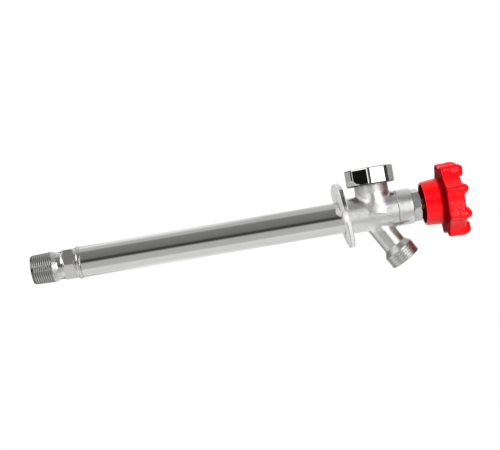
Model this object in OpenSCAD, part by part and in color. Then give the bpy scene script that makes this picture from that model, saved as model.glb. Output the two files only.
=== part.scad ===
// Frost free sillcock for an outside wall: a chrome tube with a male pipe inlet at the warm end,
// a cast body with a wall flange, a hose outlet and a vacuum breaker outside, and a red handle
// whose long stem closes the valve seat far behind the wall.
// Millimetres. X runs along the tube from the wall out to the handle and Z is up.
// The origin is the point where the tube's axis meets the wall face of the flange.

/* [Casing tube] */
// Outside diameter of the tube, 3/4 in pipe size
tube_od = 26.67; // [25:0.01:28]
// Wall of the tube
tube_wall = 1.2; // [1:0.05:1.4]
// Tube that shows between the inlet collar and the wall face
tube_run = 225.4; // [120:0.1:400]
// How far the tube enters the body past the wall face
tube_entry = 15.5; // [14:0.5:17]

/* [Inlet fitting] */
// Crest diameter of the 3/4 in pipe thread
inlet_thread_d = 26.2; // [25.8:0.05:26.7]
// Length of the pipe thread
inlet_thread_l = 18.4; // [14:0.1:20]
// Pitch of the pipe thread, 14 to the inch
inlet_pitch = 1.814; // [1.4:0.001:2.4]
// Depth of the pipe thread
inlet_thread_depth = 1.15; // [0.8:0.05:1.3]
// Plain neck between the thread and the hexagon
inlet_neck_d = 24.4; // [23.6:0.1:25]
// Length of the plain neck
inlet_neck_l = 9.6; // [6:0.1:12]
// Hexagon across flats
inlet_hex_af = 25.3; // [24.6:0.1:27]
// Length of the hexagon
inlet_hex_l = 9.2; // [6:0.1:12]
// Round land between the hexagon and the collar
inlet_land_d = 25.8; // [24.5:0.1:26.5]
// Length of the round land
inlet_land_l = 2.2; // [2:0.1:4]
// Collar that the tube butts against
collar_d = 28; // [27.5:0.1:30]
// Length of the collar
collar_l = 3; // [2.5:0.1:5]
// Spigot that enters the tube
spigot_l = 12; // [8:0.5:20]
// Socket for 1/2 in copper supply tube
supply_d = 15.95; // [15.9:0.01:16.2]
// Depth of the supply socket
supply_depth = 12.7; // [10:0.1:14]

/* [Valve seat and washer] */
// Water way through the seat
seat_bore = 11; // [9:0.1:12]
// Radius of the rounded seat bead
seat_bead = 0.8; // [0.6:0.05:1]
// Chamber that the washer holder slides in
chamber_d = 20.6; // [20:0.1:21]
// Seat face behind the collar
seat_setback = 16.6; // [14:0.1:18]
// Washer over the seat bead, each side
washer_cover = 0.6; // [0.4:0.05:1]
// Thickness of the seat washer
washer_t = 4; // [3:0.1:5]
// Rim of the holder around the washer
holder_rim = 1.1; // [0.8:0.05:1.3]
// Height of that rim
holder_rim_h = 2.4; // [1.5:0.1:2.8]
// Floor of the holder behind the washer
holder_floor = 4; // [3:0.1:6]
// Shank of the washer screw
washer_screw_d = 3.8; // [3:0.1:4.5]
// Head of the washer screw
washer_screw_head = 6.6; // [6:0.1:7.2]
// Height of that head
washer_screw_head_h = 2.2; // [1.6:0.1:2.6]
// Number of guide wings on the holder
wings = 4; // [3:1:6]
// Width of a guide wing
wing_w = 2.4; // [1.8:0.1:3.5]

/* [Stem] */
// Long operating rod
rod_d = 8; // [7:0.1:9]
// Button on the rod's end, over the rod's diameter
button_rim = 1.3; // [1:0.05:1.6]
// Thickness of the button
button_t = 2; // [1.5:0.1:3]
// Snap ring that keeps the button in the holder
clip_t = 1; // [0.8:0.05:1.2]
// Wall of the holder's swivel socket
swivel_wall = 1.9; // [1.6:0.1:2.2]
// Crest diameter of the stem thread
stem_thread_d = 15.2; // [14.4:0.1:16]
// Pitch of the stem thread
stem_pitch = 2.5; // [2:0.1:3]
// Depth of the stem thread
stem_thread_depth = 1.1; // [0.8:0.05:1.3]
// Length of the stem thread
stem_thread_l = 13.5; // [11:0.1:15]
// Travel from closed to open
stem_travel = 6; // [4:0.1:7]
// Plain hub that holds the rod
stem_hub_d = 13.4; // [12.8:0.1:14]
// Length of the hub
stem_hub_l = 12; // [10:0.1:14]
// How far the rod enters the stem
rod_entry = 20; // [14:0.5:22]
// Cross pin through the hub and the rod
stem_pin_d = 2.5; // [2:0.1:3]
// Stem where it passes the packing
stem_d = 10; // [9:0.1:10.5]
// Square end for the handle, across flats
square_af = 7; // [6:0.1:7.2]

/* [Wall flange] */
// Radius of the flange's round edge
flange_r = 38.9; // [36:0.1:44]
// Centre of that edge above the tube's axis
flange_rise = 11.9; // [8:0.1:13]
// Middle of the top edge above the tube's axis
flange_top = 29.6; // [25:0.1:34]
// Radius of the gently arched top edge
flange_top_r = 110; // [70:1:200]
// Thickness of the flange
flange_t = 4.2; // [3:0.1:5]
// Lean of the flange, which lets the tube drain outwards
flange_lean = 6; // [0:0.5:8]
// Width of the open screw slots
slot_w = 8.4; // [6:0.1:9]
// Distance between the round ends of the two slots
slot_span = 54; // [50:0.5:58]

/* [Body casting] */
// Wall around the tube's socket
socket_wall = 1.85; // [1.6:0.05:3]
// Wall of the tail that the flange sits on
tail_wall = 1.2; // [1:0.05:1.4]
// Plain barrel between the neck and the body's end face
end_land = 4.15; // [3:0.05:6]
// Wall around the bonnet's spigot
end_wall = 2.4; // [2.2:0.05:3]
// Lip inside the body that stops the tube
stop_lip = 1.1; // [0.8:0.05:1.4]
// Vacuum breaker neck from the wall face
neck_x = 29.5; // [29:0.1:32]
// Bore of the neck
neck_bore = 21.5; // [20.5:0.1:22]
// Wall of the neck
neck_wall = 3.6; // [2.6:0.1:4]
// Top of the neck above the tube's axis
neck_top = 26.4; // [26:0.1:34]

/* [Hose outlet] */
// Where the spout's axis leaves the tube's axis
spout_x = 23.7; // [22:0.1:26]
// Slope of the spout below the tube's axis
spout_angle = 60; // [50:1:70]
// Bore of the spout
spout_bore = 13; // [11:0.1:14]
// Wall of the spout
spout_wall = 3.6; // [2.4:0.1:4.2]
// End of the spout, measured along its axis
spout_reach = 51; // [48:0.1:70]
// Cone between the spout and the thread
shoulder_l = 4.7; // [2.5:0.1:5.5]
// Crest diameter of the 3/4 in hose thread
hose_thread_d = 26.99; // [26:0.01:28]
// Pitch of the hose thread, 11.5 to the inch
hose_pitch = 2.209; // [1.8:0.001:3]
// Depth of the hose thread
hose_thread_depth = 1.1; // [0.8:0.05:1.5]
// Number of thread turns
hose_turns = 5; // [4:1:6]
// Bore at the mouth of the outlet
mouth_d = 19.4; // [16:0.1:20]
// Depth of that bore
mouth_depth = 9; // [6:0.1:10]

/* [Bonnet and packing] */
// Bonnet ring over the body's diameter, each side
bonnet_step = 0.15; // [0:0.05:1]
// Length of the bonnet ring
bonnet_l = 12.5; // [11:0.1:16]
// Spigot of the bonnet inside the body
bonnet_spigot_l = 9; // [7:0.1:9.5]
// Thickness of the bonnet gasket
gasket_t = 0.5; // [0.5:0.05:1.2]
// Gasket edge inside the ring's edge
gasket_inset = 0.6; // [0.5:0.05:1.2]
// Floor of the packing box behind the ring's face
box_sink = 5; // [4.5:0.1:6]
// Packing around the stem, radial width
packing_w = 4; // [3.4:0.1:4.2]
// Thickness of one packing ring
packing_t = 2; // [1.5:0.1:2.2]
// Number of packing rings
packing_rings_n = 3; // [2:1:3]
// Thickness of the brass washer below the packing
support_t = 1.2; // [0.8:0.05:1.6]
// Wall of the bonnet's threaded nose
nose_wall = 1.9; // [1.6:0.05:2.2]
// Packing nut across flats
nut_af = 25.2; // [25:0.1:26.6]
// Inner depth of the packing nut
nut_depth = 4.7; // [3.4:0.1:5.2]
// End wall of the packing nut
nut_wall = 2; // [1.6:0.1:3]
// Nut's corner below the level of the axis, in degrees
nut_turn = 12.6; // [0:0.1:60]

/* [Handle] */
// Skirt's edge in front of the bonnet ring
skirt_x = 10; // [9:0.1:14]
// Room between the nut's corners and the skirt
skirt_room = 2.2; // [0.8:0.05:3]
// Wall of the skirt
skirt_wall = 2; // [1.6:0.05:2.5]
// Length of the skirt
skirt_l = 16.4; // [15:0.1:20]
// Growth of the skirt's radius along its length
skirt_flare = 1.5; // [0.8:0.05:3]
// Wheel's radius between the lobes
wheel_r = 28; // [25:0.1:30]
// Reach of a lobe past that radius
lobe_reach = 4.8; // [3.5:0.1:6]
// Number of lobes
lobes = 8; // [7:1:9]
// Width of a lobe's crest
lobe_w = 3; // [2:0.1:4]
// First lobe above the level of the axis, in degrees
lobe_turn = 15; // [0:0.5:45]
// Thickness of the wheel at its rim
wheel_t = 15.7; // [12:0.1:18]
// Knuckles in front of the rim
knuckle_rise = 4; // [3.8:0.05:5]
// Half width of a knuckle
knuckle_r = 2.3; // [1.8:0.05:2.6]
// Length of a knuckle
knuckle_l = 10; // [8:0.1:11]
// Radius of the dished front
dish_r = 21; // [18:0.1:21.5]
// Web left behind the dish
web_t = 6.9; // [4:0.1:8]
// Handle hub behind the wheel's back
hub_back = 6.5; // [5:0.1:9]
// Radius of the hub
hub_r = 9; // [8:0.1:10]
// Hub's front face behind the rim's front
hub_sink = 4.3; // [4:0.1:5]
// Shank of the handle screw
handle_screw_d = 4.8; // [4:0.1:5]
// Head of the handle screw
handle_screw_head = 9; // [8:0.1:10]
// Height of that head
handle_screw_head_h = 3; // [2:0.1:3.2]
// Reach of the handle screw into the stem
handle_screw_l = 12; // [9:0.1:14]
// Washer below the head, diameter
handle_washer_d = 12; // [10.5:0.1:15]
// Thickness of that washer
handle_washer_t = 1; // [0.6:0.05:1.2]

/* [Vacuum breaker] */
// Octagonal cap across flats
cap_af = 39.4; // [37:0.1:41]
// Height of the cap
cap_h = 14.8; // [14.6:0.1:18]
// Overlap of the cap over the neck's top
cap_overlap = 2.7; // [1.5:0.1:3]
// Cap's corner turned from the -Y side towards the wall, in degrees
cap_turn = 6; // [0:0.5:45]
// Chamfer of the cap's corners
cap_chamfer = 1.4; // [0.8:0.05:2]
// Gap between the cap and the neck, which lets air in
vent_gap = 0.8; // [0.5:0.05:1.2]
// Top wall of the cap
cap_wall = 2.2; // [1.6:0.1:3]
// Thickness of the flat gasket below the guide
guide_gasket_t = 0.8; // [0.5:0.05:1]
// Flange of the guide
guide_flange_t = 2; // [1.5:0.1:2.4]
// Guide's reach below the neck's top
guide_drop = 10.9; // [10.2:0.1:11.5]
// Wall of the guide's spigot
guide_wall = 2.2; // [1.8:0.1:2.4]
// Air seat in the guide, bore
air_bore = 10; // [8:0.1:11]
// Thickness of the air seat
air_seat_t = 2; // [1.5:0.1:2.4]
// Number of air ports
air_ports = 6; // [4:1:8]
// Bore of an air port
air_port_d = 2.4; // [1.8:0.1:2.4]
// Lift of the float
float_lift = 3; // [2.5:0.1:3.2]
// Thickness of the float's disc
float_t = 2.4; // [2:0.1:2.6]
// Stem of the float
float_stem_d = 4; // [3:0.1:5]
// Thickness of the float's seal
float_seal_t = 1.6; // [1.2:0.1:1.8]
// Snap ring that carries the float
stop_ring_t = 1; // [0.8:0.05:1.2]

/* [Clearances] */
// Radial gap of parts that are soldered, screwed or pressed together
fit = 0.05; // [0.02:0.01:0.1]
// Radial gap of parts that slide on each other
running = 0.1; // [0.05:0.01:0.15]
// Gap between parts that move past each other
clear = 0.3; // [0.2:0.05:0.4]

/* [Hidden] */
$fn = 64;
// Overshoot of a cut past the face it opens
eps = 0.5;
// Reach of a cut that only has to clear the whole part
far = 200;
// Chamfer on turned edges
edge = 0.8;
// Flattening of a hexagon's or octagon's corners
blunt = 0.25;
// Share of a wall that a snap ring's groove takes
groove = 0.5;

// Outside of the neck, and the body's end face that follows from it
neck_r = neck_bore / 2 + neck_wall;
body_l = neck_x + neck_r + end_land;

// Stations along X, from the inlet to the handle
x_land = -tube_run - collar_l;
x_hex_end = x_land - inlet_land_l;
x_hex = x_hex_end - inlet_hex_l;
x_thread = x_hex - inlet_neck_l;
x_inlet = x_thread - inlet_thread_l;
x_spigot = -tube_run + spigot_l;
x_seat = -tube_run - seat_setback;
x_washer = x_seat + seat_bead + clear;
x_floor = x_washer + washer_t;
x_socket = x_floor + holder_floor;
x_button = x_socket + clear;
x_clip = x_button + button_t + clear;
x_bonnet = body_l + gasket_t;
x_ring = x_bonnet + bonnet_l;
x_box = x_ring - box_sink;
x_stem_stop = x_box - stem_travel - clear;
x_stem = x_stem_stop - stem_thread_l;
x_hub = x_stem - stem_hub_l;
x_packing = x_box + support_t;
x_gland = x_packing + packing_rings_n * packing_t;
x_nut = x_ring + clear;
x_nut_wall = x_nut + nut_depth;
x_nut_end = x_nut_wall + nut_wall;
x_skirt = x_ring + skirt_x;
x_wheel = x_skirt + skirt_l;
x_rim = x_wheel + wheel_t;
x_handle_hub = x_wheel - hub_back;
x_hub_face = x_rim - hub_sink;
x_head = x_hub_face + handle_washer_t;

// Heights of the vacuum breaker, from the neck up to the cap and down to the float
z_cap = neck_top - cap_overlap;
z_cap_top = z_cap + cap_h;
z_guide = neck_top + guide_gasket_t;
z_ports = z_guide + guide_flange_t;
z_guide_top = z_cap_top - cap_wall - clear;
z_stem_wall = z_ports + air_port_d + 2 * fit;
z_guide_end = neck_top - guide_drop;
z_stop = z_guide_end + groove * stop_ring_t;
z_float = z_stop + stop_ring_t + clear;
z_seal = z_float + float_t;
z_air_seat = z_seal + float_seal_t + float_lift + clear;
z_air_top = z_air_seat + air_seat_t;

// Radii that follow from the sizes above
tube_r = tube_od / 2;
tube_bore_r = tube_r - tube_wall;
socket_r = tube_r + fit;
barrel_r = socket_r + socket_wall;
tail_r = socket_r + tail_wall;
way_r = tube_bore_r - stop_lip;
bonnet_bore_r = barrel_r - end_wall;
bonnet_r = barrel_r + bonnet_step;
stem_bore_r = stem_thread_d / 2 + clear;
box_r = stem_d / 2 + running + packing_w;
nose_r = box_r + nose_wall;
nut_corner_r = nut_af / 2 / cos(30);
skirt_in_r = nut_corner_r + skirt_room;
skirt_r = skirt_in_r + skirt_wall;
spout_r = spout_bore / 2 + spout_wall;
hose_r = hose_thread_d / 2;
hose_l = hose_turns * hose_pitch;
washer_r = seat_bore / 2 + 2 * seat_bead + washer_cover;
holder_r = washer_r + fit + holder_rim;
button_r = rod_d / 2 + button_rim;
swivel_r = button_r + clear;
guide_r = neck_bore / 2 - fit;
guide_bore_r = guide_r - guide_wall;
float_r = guide_bore_r - clear;
guide_top_r = guide_r - 1;
cap_in_r = neck_r + vent_gap;
float_stem_r = float_stem_d / 2;

// A round piece along X, from one station to another
module bar(x0, x1, r) {
    translate([x0, 0, 0]) rotate([0, 90, 0]) cylinder(r = r, h = x1 - x0);
}

// A round piece along X with chamfered ends
module chamfered_bar(x0, x1, r, c) {
    translate([x0, 0, 0]) rotate([0, 90, 0]) rotate_extrude()
        polygon([[0, 0], [r - c, 0], [r, c], [r, x1 - x0 - c], [r - c, x1 - x0], [0, x1 - x0]]);
}

// A hexagon along X, with one corner turned down from the -Y side, and with turned corners
module hex_bar(x0, x1, af, turn, c) {
    corner_r = af / 2 / cos(30);
    intersection() {
        translate([x0, 0, 0]) rotate([turn, 0, 0]) rotate([0, 90, 0]) rotate([0, 0, 90])
            cylinder(r = corner_r, h = x1 - x0, $fn = 6);
        chamfered_bar(x0, x1, corner_r - blunt, c);
    }
}

// A pierced disc along X
module ring_x(x0, x1, r, bore) {
    difference() {
        bar(x0, x1, r);
        bar(x0 - eps, x1 + eps, bore);
    }
}

// A pierced disc along Z over the neck's axis
module ring_z(z0, z1, r, bore) {
    translate([neck_x, 0, z0]) difference() {
        cylinder(r = r, h = z1 - z0);
        translate([0, 0, -eps]) cylinder(r = bore, h = z1 - z0 + 2 * eps);
    }
}

// Threads are rings of one pitch each, with flat crests on one cylinder
function thread_points(r, depth, pitch, turns) = [
    for (i = [0 : turns - 1]) each [
        [r - depth, i * pitch],
        [r - depth, (i + 0.15) * pitch],
        [r, (i + 0.45) * pitch],
        [r, (i + 0.7) * pitch]
    ]
];

// A threaded rod along Z
module thread(r, depth, pitch, turns) {
    top = turns * pitch;
    rotate_extrude() polygon(concat(
        [[0, 0]], thread_points(r, depth, pitch, turns), [[r - depth, top], [0, top]]));
}

// Everything behind a plane that leans with the flange, at a distance from its wall face
module behind_flange(x) {
    rotate([0, -flange_lean, 0]) translate([x - far, -far, -far]) cube([far, 2 * far, 2 * far]);
}

// Brings a piece drawn along Z onto the spout's axis
module on_spout() {
    translate([spout_x, 0, 0]) rotate([0, 90 + spout_angle, 0]) children();
}

// Warm end of the sillcock: pipe thread, wrench hexagon, tube spigot and the valve seat inside
module inlet_fitting() {
    turns = floor(inlet_thread_l / inlet_pitch);
    color("silver") {
        difference() {
            union() {
                translate([x_inlet, 0, 0]) rotate([0, 90, 0])
                    thread(inlet_thread_d / 2, inlet_thread_depth, inlet_pitch, turns);
                bar(x_inlet + turns * inlet_pitch - eps, x_hex + eps, inlet_neck_d / 2);
                hex_bar(x_hex, x_hex_end, inlet_hex_af, 0, edge);
                bar(x_hex_end - eps, x_land + eps, inlet_land_d / 2);
                chamfered_bar(x_land, -tube_run, collar_d / 2, edge);
                bar(-tube_run - eps, x_spigot, tube_bore_r - fit);
            }
            bar(x_inlet - eps, x_inlet + supply_depth, supply_d / 2);
            bar(x_inlet, x_seat + eps, seat_bore / 2);
            bar(x_seat, x_spigot + eps, chamber_d / 2);
        }
        seat_ring();
    }
}

// Rounded bead that the washer closes on
module seat_ring() {
    translate([x_seat, 0, 0]) rotate([0, 90, 0]) rotate_extrude()
        translate([seat_bore / 2 + 1.2 * seat_bead, 0]) circle(r = seat_bead);
}

// Plated tube between the inlet and the body
module casing_tube() {
    color("gainsboro") ring_x(-tube_run, tube_entry, tube_r, tube_bore_r);
}

// Outline of the flange in the plane of the wall, with Y to the right and Z up
module flange_outline() {
    intersection() {
        translate([0, flange_rise]) circle(r = flange_r, $fn = 128);
        translate([0, flange_top - flange_top_r]) circle(r = flange_top_r, $fn = 128);
    }
}

// Screw slot that is open at the flange's edge
module screw_slot() {
    translate([slot_span / 2, 0]) circle(r = slot_w / 2);
    translate([slot_span / 2, -slot_w / 2]) square([far, slot_w]);
}

// Leaning wall flange with two open screw slots
module wall_flange() {
    color("silver") difference() {
        rotate([0, -flange_lean, 0]) rotate([90, 0, 90]) linear_extrude(height = flange_t)
            difference() {
                flange_outline();
                screw_slot();
                mirror([1, 0]) screw_slot();
            }
        bar(-far, far, tail_r + fit);
    }
}

// Cast head: tail for the flange, barrel, neck for the vacuum breaker and the hose spout
module body_casting() {
    thread_start = spout_reach - hose_l;
    color("lightgray") difference() {
        union() {
            difference() {
                bar(-far / 10, body_l, barrel_r);
                behind_flange(flange_t);
            }
            difference() {
                bar(-far / 10, tube_entry, tail_r);
                behind_flange(clear);
            }
            translate([neck_x, 0, 0]) cylinder(r = neck_r, h = neck_top);
            on_spout() {
                cylinder(r = spout_r, h = thread_start);
                translate([0, 0, thread_start - shoulder_l])
                    cylinder(r1 = spout_r, r2 = hose_r - hose_thread_depth, h = shoulder_l);
                translate([0, 0, thread_start])
                    thread(hose_r, hose_thread_depth, hose_pitch, hose_turns);
            }
        }
        bar(-far / 5, tube_entry, socket_r);
        bar(tube_entry - eps, body_l + eps, way_r);
        bar(x_bonnet - gasket_t - bonnet_spigot_l - clear, body_l + eps, bonnet_bore_r);
        translate([neck_x, 0, 0]) cylinder(r = neck_bore / 2, h = neck_top + eps);
        on_spout() {
            cylinder(r = spout_bore / 2, h = spout_reach + eps);
            translate([0, 0, spout_reach - mouth_depth]) cylinder(r = mouth_d / 2, h = mouth_depth + eps);
        }
    }
}

// Bonnet that closes the body: spigot, ring and threaded nose with the packing box
module bonnet() {
    color("lightgray") difference() {
        union() {
            bar(body_l - bonnet_spigot_l, x_bonnet + eps, bonnet_bore_r - fit);
            chamfered_bar(x_bonnet, x_ring, bonnet_r, edge);
            bar(x_ring - eps, x_nut_wall - clear, nose_r);
        }
        bar(body_l - bonnet_spigot_l - eps, x_box + eps, stem_bore_r);
        bar(x_box, x_nut_wall + eps, box_r);
    }
}

// Fibre gasket between the body and the bonnet
module bonnet_gasket() {
    color("dimgray") ring_x(body_l, x_bonnet, bonnet_r - gasket_inset, bonnet_bore_r);
}

// Brass washer on the floor of the packing box
module packing_washer() {
    color("goldenrod") ring_x(x_box, x_packing, box_r - fit, stem_d / 2 + running);
}

// Packing rings around the stem
module packing_rings() {
    color("darkslategray") for (i = [0 : packing_rings_n - 1])
        ring_x(x_packing + i * packing_t, x_packing + (i + 1) * packing_t - fit, box_r - fit,
            stem_d / 2 + running);
}

// Brass gland that the nut presses on the packing
module packing_gland() {
    color("goldenrod") ring_x(x_gland, x_nut_wall, box_r - fit, stem_d / 2 + running);
}

// Hexagonal packing nut on the bonnet's nose
module packing_nut() {
    color("silver") difference() {
        hex_bar(x_nut, x_nut_end, nut_af, nut_turn, edge);
        bar(x_nut - eps, x_nut_wall, nose_r + fit);
        bar(x_nut_wall - eps, x_nut_end + eps, stem_d / 2 + clear);
    }
}

// Brass insert in the neck: it guides the float, holds the air seat and carries the cap
module breaker_guide() {
    color("goldenrod") translate([neck_x, 0, 0]) difference() {
        union() {
            translate([0, 0, z_guide_end]) cylinder(r = guide_r, h = z_guide - z_guide_end + eps);
            translate([0, 0, z_guide]) cylinder(r = neck_r - clear, h = guide_flange_t);
            translate([0, 0, z_guide]) cylinder(r = guide_top_r, h = z_guide_top - z_guide);
        }
        translate([0, 0, z_guide_end - eps]) cylinder(r = guide_bore_r, h = z_air_seat - z_guide_end + eps);
        translate([0, 0, z_air_seat - eps]) cylinder(r = air_bore / 2, h = air_seat_t + 2 * eps);
        translate([0, 0, z_air_top]) cylinder(r = guide_top_r - guide_wall, h = z_stem_wall - z_air_top);
        translate([0, 0, z_stem_wall - eps]) cylinder(r = float_stem_r + running, h = far);
        translate([0, 0, z_stop - fit])
            cylinder(r = guide_bore_r + groove * guide_wall + fit, h = stop_ring_t + 2 * fit);
        for (i = [0 : air_ports - 1]) rotate([0, 0, i * 360 / air_ports])
            translate([0, 0, z_ports + air_port_d / 2 + fit]) rotate([0, 90, 0])
                cylinder(r = air_port_d / 2, h = guide_r);
    }
}

// Flat gasket between the neck and the guide
module breaker_gasket() {
    color("dimgray") ring_z(neck_top, z_guide, neck_r - clear, guide_r + fit);
}

// Snap ring in the guide that the float rests on
module float_stop_ring() {
    color("silver") ring_z(z_stop, z_stop + stop_ring_t, guide_bore_r + groove * guide_wall, air_bore / 2);
}

// Octagonal cap with a corner near the -Y side, open below so that air can reach the ports
module breaker_cap() {
    corner_r = cap_af / 2 / cos(22.5);
    color("gainsboro") translate([neck_x, 0, z_cap]) difference() {
        intersection() {
            rotate([0, 0, -cap_turn]) cylinder(r = corner_r, h = cap_h, $fn = 8);
            rotate_extrude() polygon([[0, 0], [corner_r - cap_chamfer, 0],
                [corner_r - blunt, cap_chamfer - blunt], [corner_r - blunt, cap_h - cap_chamfer + blunt],
                [corner_r - cap_chamfer, cap_h], [0, cap_h]]);
        }
        translate([0, 0, -eps]) cylinder(r = cap_in_r, h = z_stem_wall - z_cap + eps);
        cylinder(r = guide_top_r + fit, h = cap_h - cap_wall);
    }
}

// Washer holder at the warm end: cup for the washer, guide wings and a socket for the rod's button
module washer_holder() {
    x_end = x_clip + clip_t + edge;
    color("goldenrod") difference() {
        union() {
            bar(x_floor - holder_rim_h, x_socket, holder_r);
            bar(x_floor, x_end, swivel_r + swivel_wall);
            intersection() {
                for (i = [0 : wings - 1]) rotate([i * 360 / wings + 45, 0, 0])
                    translate([x_floor, -wing_w / 2, 0])
                        cube([x_end - x_floor - edge, wing_w, chamber_d]);
                bar(x_floor, x_end, chamber_d / 2 - clear);
            }
        }
        bar(x_floor - holder_rim_h - eps, x_floor, washer_r + fit);
        bar(x_floor - eps, x_socket + eps, washer_screw_d / 2 + fit);
        bar(x_socket, x_end + eps, swivel_r);
        bar(x_clip - fit, x_clip + clip_t + fit, swivel_r + groove * swivel_wall + fit);
    }
}

// Rubber washer that closes on the seat
module seat_washer() {
    color("black") ring_x(x_washer, x_floor, washer_r, washer_screw_d / 2 + fit);
}

// Slotted screw that holds the washer
module washer_screw() {
    color("goldenrod") difference() {
        union() {
            bar(x_washer - washer_screw_head_h, x_washer, washer_screw_head / 2);
            bar(x_washer - eps, x_socket - eps, washer_screw_d / 2);
        }
        translate([x_washer - washer_screw_head_h - eps, -0.5, -washer_screw_head])
            cube([washer_screw_head_h / 2 + eps, 1, 2 * washer_screw_head]);
    }
}

// Snap ring behind the rod's button
module swivel_clip() {
    color("silver") ring_x(x_clip, x_clip + clip_t, swivel_r + groove * swivel_wall, rod_d / 2 + clear);
}

// Long rod from the washer holder to the stem, with the button that turns in the holder
module stem_rod() {
    color("goldenrod") difference() {
        union() {
            bar(x_button, x_button + button_t, button_r);
            bar(x_button, x_hub + rod_entry, rod_d / 2);
        }
        pin_bore();
    }
}

// Hole for the cross pin
module pin_bore() {
    translate([x_hub + stem_hub_l / 2, 0, -stem_hub_d])
        cylinder(r = stem_pin_d / 2 + fit, h = 2 * stem_hub_d);
}

// Threaded stem with its hub, packing journal and square end
module spindle() {
    turns = floor(stem_thread_l / stem_pitch);
    x_end = x_hub_face - clear;
    color("goldenrod") difference() {
        union() {
            chamfered_bar(x_hub, x_stem + eps, stem_hub_d / 2, edge / 2);
            bar(x_stem, x_stem_stop, stem_thread_d / 2 - stem_thread_depth);
            translate([x_stem, 0, 0]) rotate([0, 90, 0])
                thread(stem_thread_d / 2, stem_thread_depth, stem_pitch, turns);
            bar(x_stem, x_handle_hub - fit, stem_d / 2);
            translate([x_stem, -square_af / 2, -square_af / 2])
                cube([x_end - x_stem, square_af, square_af]);
        }
        bar(x_hub - eps, x_hub + rod_entry + eps, rod_d / 2 + fit);
        bar(x_head - handle_screw_l - eps, x_end + eps, handle_screw_d / 2 + fit);
        pin_bore();
    }
}

// Cross pin that joins the rod to the stem
module stem_pin() {
    color("silver") translate([x_hub + stem_hub_l / 2, 0, -stem_hub_d / 2])
        cylinder(r = stem_pin_d / 2, h = stem_hub_d);
}

// Outline of the wheel: round scallops cut from a disc, with the first lobe turned up from the -Y side
module wheel_outline() {
    tip_r = wheel_r + lobe_reach;
    half = 180 / lobes - asin(lobe_w / 2 / tip_r);
    scallop_r = (wheel_r * wheel_r + tip_r * tip_r - 2 * wheel_r * tip_r * cos(half))
        / (2 * (tip_r * cos(half) - wheel_r));
    difference() {
        circle(r = tip_r, $fn = 128);
        for (i = [0 : lobes - 1]) rotate((i + 0.5) * 360 / lobes - lobe_turn)
            translate([0, -wheel_r - scallop_r]) circle(r = scallop_r, $fn = 128);
    }
}

// Knuckle on the front of each lobe, round at both ends
module knuckles() {
    middle = (wheel_r + lobe_reach + dish_r) / 2;
    half = knuckle_l / 2 - knuckle_r;
    for (i = [0 : lobes - 1]) rotate(i * 360 / lobes - lobe_turn) translate([0, -middle]) {
        for (end = [-half, half]) translate([0, end]) circle(r = knuckle_r);
        translate([-knuckle_r, -half]) square([2 * knuckle_r, 2 * half]);
    }
}

// Red handle: flared skirt over the packing nut, lobed wheel, dished front and square hub
module handle_wheel() {
    x_dish = x_wheel + web_t;
    color("red") difference() {
        union() {
            rotate([0, 90, 0]) rotate([0, 0, 90]) {
                translate([0, 0, x_wheel]) linear_extrude(height = wheel_t) wheel_outline();
                translate([0, 0, x_rim - eps]) linear_extrude(height = knuckle_rise + eps) knuckles();
                translate([0, 0, x_skirt])
                    cylinder(r1 = skirt_r, r2 = skirt_r + skirt_flare, h = skirt_l + eps);
            }
        }
        bar(x_skirt - eps, x_wheel, skirt_in_r);
        difference() {
            bar(x_dish, x_rim + far, dish_r);
            bar(x_dish - eps, x_hub_face, hub_r);
        }
        hub_socket();
    }
    color("red") difference() {
        bar(x_handle_hub, x_wheel + eps, hub_r);
        hub_socket();
    }
}

// Square hole through the handle's hub
module hub_socket() {
    side = square_af + 2 * fit;
    translate([x_handle_hub - eps, -side / 2, -side / 2]) cube([far, side, side]);
}

// Washer below the handle screw's head
module handle_washer() {
    color("silver") ring_x(x_hub_face, x_head, handle_washer_d / 2, handle_screw_d / 2 + fit);
}

// Cross recess screw that holds the handle
module handle_screw() {
    recess = 0.55 * handle_screw_head;
    color("silver") difference() {
        union() {
            chamfered_bar(x_head, x_head + handle_screw_head_h, handle_screw_head / 2, edge);
            bar(x_head - handle_screw_l, x_head + eps, handle_screw_d / 2);
        }
        for (a = [0, 90]) rotate([a, 0, 0])
            translate([x_head + handle_screw_head_h / 2, -recess / 2, -0.6])
                cube([handle_screw_head_h, recess, 1.2]);
    }
}

// Plastic float of the vacuum breaker
module float_disc() {
    color("white") translate([neck_x, 0, z_float]) {
        cylinder(r = float_r, h = float_t);
        cylinder(r = float_stem_r, h = z_guide_top - float_lift - z_float);
    }
}

// Rubber seal on the float
module float_seal() {
    color("black") ring_z(z_seal, z_seal + float_seal_t, float_r - clear, float_stem_r + fit);
}

inlet_fitting();
casing_tube();
wall_flange();
body_casting();
bonnet();
bonnet_gasket();
packing_washer();
packing_rings();
packing_gland();
packing_nut();
breaker_guide();
breaker_gasket();
float_stop_ring();
breaker_cap();
washer_holder();
seat_washer();
washer_screw();
swivel_clip();
stem_rod();
spindle();
stem_pin();
handle_wheel();
handle_washer();
handle_screw();
float_disc();
float_seal();
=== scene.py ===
"""Frost free sillcock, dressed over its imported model.
Sizes are in millimetres along the model's own axes: X from the wall to the handle, Z up, the camera at -Y.
A turn's angle starts at the camera's side and goes down."""
import math

import bpy
import numpy as np
from mathutils import Matrix


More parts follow.
